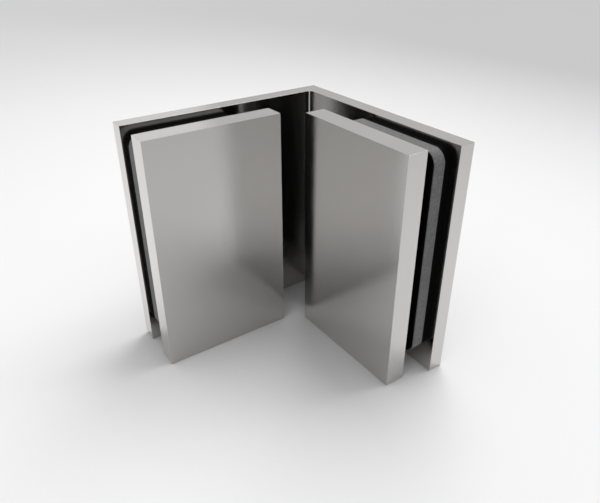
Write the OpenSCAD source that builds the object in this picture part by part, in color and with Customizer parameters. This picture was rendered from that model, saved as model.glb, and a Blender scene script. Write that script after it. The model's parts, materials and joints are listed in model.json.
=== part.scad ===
// Corner connector for two glass panels that meet at a right angle.
// An outer angle plate and two flat clamp plates hold the glass between
// rubber-faced pads. Countersunk screws enter from the outside, pass through
// the pads and the glass, and thread into blind holes in the clamp plates,
// so no fastener shows on the inside. Millimetres, +Z up, standing on Z = 0.

/* [Angle plate] */
// Length of each arm, measured from the outer corner edge
arm_l = 85; // [80:0.5:110]
// Height of the angle plate and of the clamp plates
plate_h = 90; // [90:1:94]
// Thickness of the angle plate
plate_t = 6; // [5:0.5:8]
// Fillet radius in the inner corner of the angle plate
corner_r = 2.5; // [1:0.5:5]

/* [Clamp plates] */
// Width of each clamp plate along its arm
clamp_w = 52.2; // [50:0.1:56]
// Thickness of each clamp plate
clamp_t = 8; // [8:0.5:12]
// Clear distance between the angle plate and a clamp plate
gap = 11; // [10.6:0.1:14]
// How far the left clamp plate stops short of the end of its arm
left_inset = 0; // [0:0.1:4]
// How far the right clamp plate stops short of the end of its arm
right_inset = 3.3; // [0:0.1:4]

/* [Pads] */
// Thickness of the rubber backing between the angle plate and a spacer pad
backing_t = 3.1; // [2:0.1:3.2]
// Thickness of the grey spacer pad
spacer_t = 4.6; // [4.5:0.1:5]
// Width of the spacer pad along its arm
spacer_w = 40; // [38:0.1:42]
// How far the left spacer pad stops short of the end of its arm
left_pad_inset = 1.2; // [1:0.1:4]
// How far the right spacer pad stops short of the end of its arm
right_pad_inset = 2.9; // [1:0.1:4]
// Height of the spacer pad
spacer_h = 78.8; // [76:0.1:80]
// How far the left spacer pad stands above the bottom edge of the plates
left_pad_low = 8.6; // [5:0.1:9.7]
// How far the right spacer pad stands above the bottom edge of the plates
right_pad_low = 9.5; // [5:0.1:9.7]
// Corner radius of the spacer pad at the free end
spacer_r = 4.8; // [3:0.1:8]
// Thickness of the rubber facing on the spacer pad and on the clamp plate
facing_t = 0.4; // [0.3:0.1:0.5]
// Margin from the outline of the clamp plate to its rubber facing
facing_margin = 2; // [1:0.1:3]

/* [Screws] */
// Nominal thread diameter of the screws
screw_d = 6; // [5:1:6]
// Distance between the two screws of an arm
screw_pitch = 50; // [40:1:50]
// Depth that a screw reaches into its clamp plate
screw_bite = 6.2; // [4:0.1:6.2]
// Width across flats of the hexagon socket
socket_af = 4; // [3:0.5:4]

/* [Hidden] */
$fn = 64;

// Distances from the outer face of an arm, going inwards
n_backing = plate_t;
n_spacer = n_backing + backing_t;
n_facing = n_spacer + spacer_t;
n_glass = n_facing + facing_t;
n_clamp = plate_t + gap;
n_plate_gasket = n_clamp - facing_t;

// Places along an arm, measured from the outer corner edge
function clamp_end(inset) = arm_l - inset;
function clamp_start(inset) = clamp_end(inset) - clamp_w;
function pad_end(pad_inset) = arm_l - pad_inset;
function pad_start(pad_inset) = pad_end(pad_inset) - spacer_w;
function screw_u(pad_inset) = pad_end(pad_inset) - spacer_w / 2;

z_low = plate_h / 2 - screw_pitch / 2;
z_high = plate_h / 2 + screw_pitch / 2;

// Holes and heads
clear_d = screw_d + 0.6;
thread_d = screw_d + 0.1;
head_d = 2 * screw_d;
sink_gap = 0.2;
head_drop = 0.15;
sleeve_d = screw_d + 4;
sleeve_id = screw_d + 0.4;
sleeve_seat = 2;
tip_n = n_clamp + screw_bite;
hole_n = tip_n + 0.2;

// An arm's own axes: X along the arm from the corner, Y up, Z inwards
module right_arm() { translate([-arm_l / 2, arm_l / 2, 0]) rotate([90, 0, 0]) children(); }
module left_arm() { translate([-arm_l / 2, arm_l / 2, 0]) mirror([1, 1, 0]) rotate([90, 0, 0]) children(); }

// Outline that is square towards the corner and rounded at the free end
module pad_outline(u0, u1, z0, z1, r) {
  translate([u0, z0]) square([u1 - u0 - r, z1 - z0]);
  translate([u1 - r - 1, z0 + r]) square([r + 1, z1 - z0 - 2 * r]);
  for (z = [z0 + r, z1 - r]) translate([u1 - r, z]) circle(r = r);
}

// Round holes at the two screw places of an arm
module screw_holes(pad_inset, d, n0, n1) {
  for (z = [z_low, z_high]) translate([screw_u(pad_inset), z, n0]) cylinder(d = d, h = n1 - n0);
}

// Clearance hole with a 90 degree countersink that opens on the outer face
module sink(u, z) {
  top_r = head_d / 2 + 0.1 + sink_gap;
  depth = top_r - clear_d / 2;
  translate([u, z, -1]) cylinder(d = clear_d, h = plate_t + 2);
  translate([u, z, 0]) cylinder(r1 = top_r, r2 = clear_d / 2, h = depth);
  translate([u, z, -1]) cylinder(r = top_r, h = 1);
}

module angle_outline() {
  translate([-arm_l / 2, arm_l / 2]) difference() {
    union() {
      translate([0, -plate_t]) square([arm_l, plate_t]);
      translate([0, -arm_l]) square([plate_t, arm_l]);
      translate([plate_t - 1, -plate_t - corner_r]) square([corner_r + 1, corner_r + 1]);
    }
    translate([plate_t + corner_r, -plate_t - corner_r]) circle(r = corner_r);
  }
}

module angle_plate() {
  color([0.72, 0.72, 0.71]) difference() {
    linear_extrude(plate_h) angle_outline();
    right_arm() for (z = [z_low, z_high]) sink(screw_u(right_pad_inset), z);
    left_arm() for (z = [z_low, z_high]) sink(screw_u(left_pad_inset), z);
  }
}

// Outline shared by the spacer pad and its rubber sheets, drawn in by an edge
module stack_outline(pad_inset, low, edge) {
  pad_outline(pad_start(pad_inset) + edge, pad_end(pad_inset) - edge,
              low + edge, low + spacer_h - edge, spacer_r - edge);
}

// Rubber sheet between the angle plate and the spacer pad
module backing(pad_inset, low) {
  color([0.03, 0.03, 0.03]) difference() {
    translate([0, 0, n_backing]) linear_extrude(backing_t) stack_outline(pad_inset, low, 0.3);
    screw_holes(pad_inset, clear_d, n_backing - 1, n_spacer + 1);
  }
}

// Grey pad that takes up the space beside the glass, with seats for the sleeves
module spacer(pad_inset, low) {
  color([0.45, 0.45, 0.45]) difference() {
    translate([0, 0, n_spacer]) linear_extrude(spacer_t) stack_outline(pad_inset, low, 0);
    screw_holes(pad_inset, clear_d, n_spacer - 1, n_facing + 1);
    screw_holes(pad_inset, sleeve_d + 0.1, n_facing - sleeve_seat, n_facing + 1);
  }
}

// Rubber facing on the spacer pad, against the glass
module spacer_gasket(pad_inset, low) {
  color([0.03, 0.03, 0.03]) difference() {
    translate([0, 0, n_facing]) linear_extrude(facing_t) stack_outline(pad_inset, low, 0.3);
    screw_holes(pad_inset, sleeve_d + 0.4, n_facing - 1, n_glass + 1);
  }
}

// Rubber facing on the back of the clamp plate, against the glass
module plate_gasket(inset, pad_inset) {
  color([0.03, 0.03, 0.03]) difference() {
    translate([0, 0, n_plate_gasket]) linear_extrude(facing_t)
      pad_outline(clamp_start(inset) + facing_margin, clamp_end(inset) - facing_margin,
                  facing_margin, plate_h - facing_margin, 3);
    screw_holes(pad_inset, clear_d, n_plate_gasket - 1, n_clamp + 1);
  }
}

// Flat plate with two blind threaded holes in its back
module clamp_plate(inset, pad_inset) {
  color([0.74, 0.74, 0.73]) difference() {
    translate([clamp_start(inset), 0, n_clamp]) cube([clamp_w, plate_h, clamp_t]);
    screw_holes(pad_inset, thread_d, n_clamp - 1, hole_n);
  }
}

// Countersunk screw with a hexagon socket, head outwards
module screw(pad_inset, z) {
  head_h = head_d / 2 - screw_d / 2;
  color([0.62, 0.62, 0.62]) translate([screw_u(pad_inset), z, head_drop]) difference() {
    union() {
      cylinder(d = head_d - 0.1, h = 0.1);
      translate([0, 0, 0.1]) cylinder(r1 = head_d / 2 - 0.05, r2 = screw_d / 2, h = head_h - 0.05);
      cylinder(d = screw_d, h = tip_n - head_drop - 0.6);
      translate([0, 0, tip_n - head_drop - 0.6]) cylinder(r1 = screw_d / 2, r2 = screw_d / 2 - 0.6, h = 0.6);
    }
    translate([0, 0, -1]) cylinder(d = socket_af / cos(30), h = 3.3, $fn = 6);
  }
}

// Sleeve that keeps the screw off the glass, seated in the spacer pad
module sleeve(pad_inset, z) {
  n0 = n_facing - sleeve_seat;
  n1 = n_plate_gasket - 0.4;
  color([0.9, 0.9, 0.88]) translate([screw_u(pad_inset), z, n0]) difference() {
    cylinder(d = sleeve_d, h = n1 - n0);
    translate([0, 0, -1]) cylinder(d = sleeve_id, h = n1 - n0 + 2);
  }
}

module left_backing() { left_arm() backing(left_pad_inset, left_pad_low); }
module right_backing() { right_arm() backing(right_pad_inset, right_pad_low); }
module left_spacer() { left_arm() spacer(left_pad_inset, left_pad_low); }
module right_spacer() { right_arm() spacer(right_pad_inset, right_pad_low); }
module left_spacer_gasket() { left_arm() spacer_gasket(left_pad_inset, left_pad_low); }
module right_spacer_gasket() { right_arm() spacer_gasket(right_pad_inset, right_pad_low); }
module left_plate_gasket() { left_arm() plate_gasket(left_inset, left_pad_inset); }
module right_plate_gasket() { right_arm() plate_gasket(right_inset, right_pad_inset); }
module left_clamp_plate() { left_arm() clamp_plate(left_inset, left_pad_inset); }
module right_clamp_plate() { right_arm() clamp_plate(right_inset, right_pad_inset); }
module left_upper_screw() { left_arm() screw(left_pad_inset, z_high); }
module left_lower_screw() { left_arm() screw(left_pad_inset, z_low); }
module right_upper_screw() { right_arm() screw(right_pad_inset, z_high); }
module right_lower_screw() { right_arm() screw(right_pad_inset, z_low); }
module left_upper_sleeve() { left_arm() sleeve(left_pad_inset, z_high); }
module left_lower_sleeve() { left_arm() sleeve(left_pad_inset, z_low); }
module right_upper_sleeve() { right_arm() sleeve(right_pad_inset, z_high); }
module right_lower_sleeve() { right_arm() sleeve(right_pad_inset, z_low); }

angle_plate();
left_backing();
right_backing();
left_spacer();
right_spacer();
left_spacer_gasket();
right_spacer_gasket();
left_plate_gasket();
right_plate_gasket();
left_clamp_plate();
right_clamp_plate();
left_upper_screw();
left_lower_screw();
right_upper_screw();
right_lower_screw();
left_upper_sleeve();
left_lower_sleeve();
right_upper_sleeve();
right_lower_sleeve();
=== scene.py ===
import json
import math

import bpy
from mathutils import Matrix, Vector


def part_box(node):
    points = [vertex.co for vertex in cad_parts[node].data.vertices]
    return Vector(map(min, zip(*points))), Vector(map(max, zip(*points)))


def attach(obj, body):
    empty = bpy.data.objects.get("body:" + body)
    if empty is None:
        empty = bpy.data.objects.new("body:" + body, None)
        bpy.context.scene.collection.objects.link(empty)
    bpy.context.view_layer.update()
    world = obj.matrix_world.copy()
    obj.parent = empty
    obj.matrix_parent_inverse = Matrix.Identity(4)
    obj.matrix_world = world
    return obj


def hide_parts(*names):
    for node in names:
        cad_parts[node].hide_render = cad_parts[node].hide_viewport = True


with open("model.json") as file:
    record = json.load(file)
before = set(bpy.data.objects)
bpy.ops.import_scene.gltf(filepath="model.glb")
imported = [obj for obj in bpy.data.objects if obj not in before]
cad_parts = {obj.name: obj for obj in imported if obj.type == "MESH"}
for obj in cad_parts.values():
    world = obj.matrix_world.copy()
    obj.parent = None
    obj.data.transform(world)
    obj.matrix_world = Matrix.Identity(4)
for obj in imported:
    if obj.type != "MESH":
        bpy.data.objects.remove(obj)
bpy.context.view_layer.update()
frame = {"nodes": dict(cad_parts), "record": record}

scene = bpy.context.scene
nodes = frame["nodes"]
body_of_node = {n: b for b, ns in frame["record"]["behaviour"]["bodies"].items() for n in ns}

MM = 0.001
ARM = 85.0          # arm length of the angle plate
HIGH = 90.0         # height of the plates


# ---------------------------------------------------------------- materials

def new_material(name):
    m = bpy.data.materials.new(name)
    m.use_nodes = True
    t = m.node_tree
    b = t.nodes["Principled BSDF"]
    return m, t, b


def node(t, kind, **values):
    n = t.nodes.new(kind)
    for k, v in values.items():
        setattr(n, k, v)
    return n


def set_in(n, **values):
    for k, v in values.items():
        n.inputs[k.replace("_", " ")].default_value = v


def ramp(t, fac, stops):
    r = node(t, "ShaderNodeValToRGB")
    e = r.color_ramp.elements
    e[0].position, e[0].color = stops[0][0], (*[stops[0][1]] * 3, 1)
    e[1].position, e[1].color = stops[-1][0], (*[stops[-1][1]] * 3, 1)
    for p, v in stops[1:-1]:
        x = e.new(p)
        x.color = (v, v, v, 1)
    t.links.new(fac, r.inputs["Fac"])
    return r.outputs["Color"]


def scaled(t, scale, rot=(0, 0, 0)):
    c = node(t, "ShaderNodeTexCoord")
    m = node(t, "ShaderNodeMapping")
    m.inputs["Scale"].default_value = scale
    m.inputs["Rotation"].default_value = rot
    t.links.new(c.outputs["Object"], m.inputs["Vector"])
    return m.outputs["Vector"]


def noise(t, vector, scale, detail=2.0, rough=0.5):
    n = node(t, "ShaderNodeTexNoise")
    set_in(n, Scale=scale, Detail=detail, Roughness=rough)
    t.links.new(vector, n.inputs["Vector"])
    return n.outputs["Fac"]


def bump(t, b, height, strength, distance):
    n = node(t, "ShaderNodeBump")
    set_in(n, Strength=strength, Distance=distance)
    t.links.new(height, n.inputs["Height"])
    t.links.new(n.outputs["Normal"], b.inputs["Normal"])
    return n.outputs["Normal"]


def satin_steel(name, grain_scale, rough=(0.155, 0.215)):
    """Fine satin grain along the plate, with a faint cloud of handling marks.

    The gloss of the ground steel grows steadily towards a grazing view. Most of
    it is a narrow lobe, and the rest is a wider haze.
    """
    m, t, b = new_material(name)
    b.inputs["Metallic"].default_value = 1.0
    grain = noise(t, scaled(t, grain_scale), 1.0, 3.0, 0.6)
    cloud = noise(t, scaled(t, (38, 38, 38)), 1.0, 3.0, 0.55)
    mix = node(t, "ShaderNodeMath", operation="MULTIPLY_ADD")
    t.links.new(grain, mix.inputs[0])
    mix.inputs[1].default_value = 0.6
    t.links.new(cloud, mix.inputs[2])
    r = node(t, "ShaderNodeMapRange")
    set_in(r, From_Min=0.5, From_Max=1.1, To_Min=rough[0], To_Max=rough[1])
    t.links.new(mix.outputs[0], r.inputs["Value"])
    t.links.new(r.outputs["Result"], b.inputs["Roughness"])
    gloss = node(t, "ShaderNodeLayerWeight")
    gloss.inputs["Blend"].default_value = 0.5
    level = ramp(t, gloss.outputs["Facing"], [(0.0, 0.445), (0.16, 0.46), (0.24, 0.512), (0.32, 0.560),
                                              (0.42, 0.582), (0.5, 0.614), (0.73, 0.745), (1.0, 0.78)])
    tone = node(t, "ShaderNodeMixRGB")
    tone.inputs["Color1"].default_value = (0.968, 0.949, 0.932, 1)
    tone.inputs["Color2"].default_value = (1.0, 0.980, 0.963, 1)
    t.links.new(grain, tone.inputs["Fac"])
    c = node(t, "ShaderNodeMixRGB", blend_type="MULTIPLY")
    c.inputs["Fac"].default_value = 1.0
    t.links.new(level, c.inputs["Color1"])
    t.links.new(tone.outputs["Color"], c.inputs["Color2"])
    t.links.new(c.outputs["Color"], b.inputs["Base Color"])
    normal = bump(t, b, grain, 0.06, 0.00003)
    lobe = node(t, "ShaderNodeBsdfGlossy", distribution="BECKMANN")
    t.links.new(c.outputs["Color"], lobe.inputs["Color"])
    t.links.new(r.outputs["Result"], lobe.inputs["Roughness"])
    t.links.new(normal, lobe.inputs["Normal"])
    both = node(t, "ShaderNodeMixShader")
    both.inputs["Fac"].default_value = 0.6
    t.links.new(b.outputs["BSDF"], both.inputs[1])
    t.links.new(lobe.outputs["BSDF"], both.inputs[2])
    t.links.new(both.outputs["Shader"], t.nodes["Material Output"].inputs["Surface"])
    return m


def rubber_and_gap_shade(name):
    """Black sheet rubber with a fine matt tooth; its near-black colour is also painted shade on the sheets that
    fill the gaps beside the pads.
    """
    m, t, b = new_material(name)
    tooth = noise(t, scaled(t, (1, 1, 1)), 2600.0, 2.0, 0.6)
    cloud = noise(t, scaled(t, (1, 1, 1)), 90.0, 3.0, 0.5)
    # painted shade: this near-black colour also stands in for the shade of the open gaps beside the pads, where the
    # sheets between pad and angle plate sit
    col = ramp(t, cloud, [(0.3, 0.001), (0.7, 0.0025)])
    t.links.new(col, b.inputs["Base Color"])
    rg = ramp(t, tooth, [(0.3, 0.55), (0.7, 0.72)])
    t.links.new(rg, b.inputs["Roughness"])
    b.inputs["Specular IOR Level"].default_value = 0.02
    bump(t, b, tooth, 0.25, 0.00004)
    return m


def grey_plastic(name):
    """Mid-grey moulded pad with a fine spark-eroded grain."""
    m, t, b = new_material(name)
    grain = noise(t, scaled(t, (1, 1, 1)), 1800.0, 3.0, 0.65)
    cloud = noise(t, scaled(t, (1, 1, 1)), 60.0, 3.0, 0.5)
    drift = node(t, "ShaderNodeMath", operation="MULTIPLY_ADD")
    t.links.new(cloud, drift.inputs[0])
    drift.inputs[1].default_value = 0.4
    drift.inputs[2].default_value = -0.4
    mix = node(t, "ShaderNodeMath", operation="MULTIPLY_ADD")
    t.links.new(grain, mix.inputs[0])
    mix.inputs[1].default_value = 1.4
    t.links.new(drift.outputs[0], mix.inputs[2])
    col = ramp(t, mix.outputs[0], [(0.2, 0.082), (0.5, 0.138), (0.8, 0.194)])
    t.links.new(col, b.inputs["Base Color"])
    rg = ramp(t, grain, [(0.3, 0.42), (0.7, 0.58)])
    t.links.new(rg, b.inputs["Roughness"])
    b.inputs["Specular IOR Level"].default_value = 0.08
    bump(t, b, grain, 0.3, 0.00006)
    return m


def nylon(name):
    """Milky moulded nylon."""
    m, t, b = new_material(name)
    cloud = noise(t, scaled(t, (1, 1, 1)), 300.0, 3.0, 0.5)
    fine = noise(t, scaled(t, (1, 1, 1)), 2200.0, 2.0, 0.5)
    c = node(t, "ShaderNodeMixRGB")
    c.inputs["Color1"].default_value = (0.70, 0.69, 0.64, 1)
    c.inputs["Color2"].default_value = (0.80, 0.79, 0.75, 1)
    t.links.new(cloud, c.inputs["Fac"])
    t.links.new(c.outputs["Color"], b.inputs["Base Color"])
    rg = ramp(t, fine, [(0.3, 0.35), (0.7, 0.5)])
    t.links.new(rg, b.inputs["Roughness"])
    b.inputs["Subsurface Weight"].default_value = 0.15
    b.inputs["Subsurface Radius"].default_value = (0.001, 0.001, 0.0008)
    bump(t, b, fine, 0.15, 0.00003)
    return m


def turned_steel(name):
    """Screw steel with turning marks round the screw's own axis."""
    m, t, b = new_material(name)
    b.inputs["Metallic"].default_value = 1.0
    v = scaled(t, (1, 1, 1))
    rings = node(t, "ShaderNodeTexWave", wave_type="RINGS", rings_direction="Z", wave_profile="SIN")
    set_in(rings, Scale=2600.0, Distortion=1.5, Detail=2.0, Detail_Scale=3.0)
    t.links.new(v, rings.inputs["Vector"])
    cloud = noise(t, v, 420.0, 3.0, 0.5)
    c = node(t, "ShaderNodeMixRGB")
    c.inputs["Color1"].default_value = (0.46, 0.456, 0.444, 1)
    c.inputs["Color2"].default_value = (0.58, 0.576, 0.562, 1)
    t.links.new(cloud, c.inputs["Fac"])
    t.links.new(c.outputs["Color"], b.inputs["Base Color"])
    t.links.new(ramp(t, rings.outputs["Fac"], [(0.0, 0.22), (1.0, 0.34)]), b.inputs["Roughness"])
    bump(t, b, rings.outputs["Fac"], 0.12, 0.00002)
    return m


# grain lies across the height of the plates; each arm has its own direction
STEEL_X = satin_steel("satin_steel_right", (60, 60, 5200))
STEEL_Y = satin_steel("satin_steel_left", (60, 60, 5200))
STEEL_A = satin_steel("satin_steel_angle", (60, 60, 5200))
# black rubber for the gaskets; the same near-black colour is painted shade on the sheets that fill the gaps beside
# the pads
RUBBER_AND_GAP_SHADE = rubber_and_gap_shade("black_rubber")
PAD = grey_plastic("grey_pad")
NYLON = nylon("milky_nylon")
SCREW = turned_steel("screw_steel")

MATS = {
    "angle_plate": (STEEL_A, "satin_steel"),
    "left_clamp_plate": (STEEL_Y, "satin_steel"),
    "right_clamp_plate": (STEEL_X, "satin_steel"),
}
for n in nodes:
    if n in MATS:
        continue
    if n.endswith("screw"):
        MATS[n] = (SCREW, "screw_steel")
    elif n.endswith("sleeve"):
        MATS[n] = (NYLON, "nylon")
    elif n.endswith("spacer"):
        MATS[n] = (PAD, "grey_plastic")
    else:
        # gaskets in black rubber, with painted shade on the sheets that fill the gaps beside the pads
        MATS[n] = (RUBBER_AND_GAP_SHADE, "black_rubber")

EDGE = {"angle_plate": 0.05, "left_clamp_plate": 0.05, "right_clamp_plate": 0.05,
        "left_spacer": 0.15, "right_spacer": 0.15}
for n, o in nodes.items():
    mat, slot = MATS[n]
    o.data.materials.clear()
    o.data.materials.append(mat)
    if n.endswith("screw"):
        continue
    w = o.modifiers.new("join", "WELD")
    w.merge_threshold = 1e-6
    e = o.modifiers.new("edges", "BEVEL")
    e.width = EDGE.get(n, 0.2 if n.endswith("sleeve") else 0.08) * MM
    e.segments = 2
    e.limit_method = "ANGLE"
    e.angle_limit = math.radians(50)
    f = o.modifiers.new("normals", "WEIGHTED_NORMAL")
    f.weight = 100
    f.keep_sharp = True


# ------------------------------------------------------------------ screws

SIDES = 48          # points round a screw
PITCH = 1.0         # thread pitch, mm


def smooth(x):
    x = min(1.0, max(0.0, x))
    return x * x * (3 - 2 * x)


def screw_mesh(length):
    """Countersunk M6 screw along local +Z, head face at Z = 0, with a cut thread."""
    turn = [2 * math.pi * i / SIDES for i in range(SIDES)]

    def circle(r, z):
        return [(r * math.cos(a), r * math.sin(a), z) for a in turn]

    def hexagon(af, z):
        out = []
        for a in turn:
            r = af / 2 / math.cos((a + math.pi / 6) % (math.pi / 3) - math.pi / 6)
            out.append((r * math.cos(a), r * math.sin(a), z))
        return out

    def thread(z):
        """One ring of the thread: crest at 3 mm, root at 2.387 mm."""
        out = []
        for a in turn:
            p = abs(((z / PITCH - a / (2 * math.pi)) % 1.0) - 0.5) * 2
            g = min(1.0, max(0.0, (p - 0.25) / 0.625))
            r = 2.387 + 0.613 * g
            r = 2.66 + (r - 2.66) * smooth((z - 3.9) / 1.2)
            r = min(r, 3.0 - max(0.0, z - (length - 0.6)))
            out.append((r * math.cos(a), r * math.sin(a), z))
        return out

    rings = [circle(1.85, 2.32), hexagon(4.0, 2.3), hexagon(4.0, 0.22), circle(2.42, 0.06), circle(2.52, 0.0),
             circle(5.78, 0.0), circle(5.9, 0.02), circle(5.94, 0.07), circle(5.95, 0.13),
             circle(3.02, 3.03), circle(2.8, 3.16), circle(2.68, 3.4), circle(2.66, 3.7)]
    steps = int((length - 3.9) * 12)
    rings += [thread(3.9 + (length - 3.9) * k / steps) for k in range(steps + 1)]
    verts = [(0, 0, 3.1)] + [v for r in rings for v in r] + [(0, 0, length)]
    at = lambda k, i: 1 + k * SIDES + i % SIDES
    faces = [(0, at(0, i), at(0, i + 1))[::-1] for i in range(SIDES)]
    for k in range(len(rings) - 1):
        faces += [(at(k, i), at(k, i + 1), at(k + 1, i + 1), at(k + 1, i)) for i in range(SIDES)]
    last = len(verts) - 1
    faces += [(at(len(rings) - 1, i), at(len(rings) - 1, i + 1), last) for i in range(SIDES)]
    me = bpy.data.meshes.new("cut_screw")
    me.from_pydata([tuple(c * MM for c in v) for v in verts], [], faces)
    me.polygons.foreach_set("use_smooth", [True] * len(me.polygons))
    me.set_sharp_from_angle(angle=math.radians(28))
    me.materials.append(SCREW)
    me.update()
    return me


for n in [k for k in nodes if k.endswith("screw")]:
    low, high = (Vector(v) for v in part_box(n))
    mid = (low + high) / 2
    if n.startswith("right"):
        way = Matrix(((1, 0, 0), (0, 0, -1), (0, 1, 0)))
        head, length = Vector((mid.x, high.y, mid.z)), high.y - low.y
    else:
        way = Matrix(((0, 0, 1), (1, 0, 0), (0, 1, 0)))
        head, length = Vector((low.x, mid.y, mid.z)), high.x - low.x
    o = bpy.data.objects.new(n + "_cut", screw_mesh(length / MM))
    scene.collection.objects.link(o)
    o.matrix_world = Matrix.Translation(head) @ way.to_4x4()
    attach(o, body_of_node[n])
    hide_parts(n)


# ------------------------------------------------------------ floor, light

def plane(name, size):
    me = bpy.data.meshes.new(name)
    s = size / 2
    me.from_pydata([(-s, -s, 0), (s, -s, 0), (s, s, 0), (-s, s, 0)], [], [(0, 1, 2, 3)])
    o = bpy.data.objects.new(name, me)
    scene.collection.objects.link(o)
    return o


floor = plane("floor", 12.0)
floor.location.z = -0.0002
m, t, b = new_material("floor_white")
fl = noise(t, scaled(t, (1, 1, 1)), 3.0, 2.0, 0.5)
t.links.new(ramp(t, fl, [(0.3, 0.775), (0.7, 0.79)]), b.inputs["Base Color"])
b.inputs["Roughness"].default_value = 0.9
b.inputs["Specular IOR Level"].default_value = 0.1
floor.data.materials.append(m)

world = bpy.data.worlds.new("studio")
scene.world = world
world.use_nodes = True
t = world.node_tree
back = t.nodes["Background"]
back.inputs["Color"].default_value = (1, 1, 1, 1)
way = node(t, "ShaderNodeTexCoord")
part = node(t, "ShaderNodeSeparateXYZ")
t.links.new(way.outputs["Generated"], part.inputs[0])
sky = ramp(t, part.outputs["Z"], [(0.0, 0.46), (0.2, 0.53), (0.25, 0.56), (0.3, 0.592), (0.42, 0.65), (1.0, 0.845)])
t.links.new(sky, back.inputs["Strength"])


def area(name, where, at, size, power, size_y=None):
    l = bpy.data.lights.new(name, "AREA")
    l.energy = power
    l.shape = "RECTANGLE" if size_y else "SQUARE"
    l.size = size
    if size_y:
        l.size_y = size_y
    o = bpy.data.objects.new(name, l)
    scene.collection.objects.link(o)
    o.location = where
    o.rotation_euler = (Vector(at) - Vector(where)).to_track_quat("-Z", "Y").to_euler()
    return o


area("key", (-0.08, 0.235, 0.62), (-0.012, -1.05, 0), 0.48, 3.38)
area("left_panel", (-1.47, 0.22, 0.46), (0, 0, 0.05), 0.85, 0.36, 0.6)
area("front_fill", (0.7, -1.0, 0.75), (0, 0, 0), 1.0, 2.2)

# ------------------------------------------------------------------ camera

cam_data = bpy.data.cameras.new("camera")
cam_data.sensor_fit = "HORIZONTAL"
cam_data.sensor_width = 36.0
cam_data.lens = 36.0 * 583.155 / 600.0
cam_data.clip_start = 0.005
cam_data.clip_end = 50.0
cam = bpy.data.objects.new("camera", cam_data)
scene.collection.objects.link(cam)
look = Vector((-0.70858, 0.49616, -0.50173)).normalized()
right = Vector((0.5738, 0.81899, -0.0006)).normalized()
up = right.cross(look)
rot = Matrix((right, up, -look)).transposed()
cam.matrix_world = Matrix.Translation((0.15364, -0.10168, 0.15152)) @ rot.to_4x4()
scene.camera = cam

# soft studio light only: no bright patches thrown on the floor by the steel
scene.cycles.caustics_reflective = False

scene.view_settings.view_transform = "Standard"
scene.view_settings.look = "None"
scene.view_settings.exposure = 0.0
scene.view_settings.gamma = 1.0
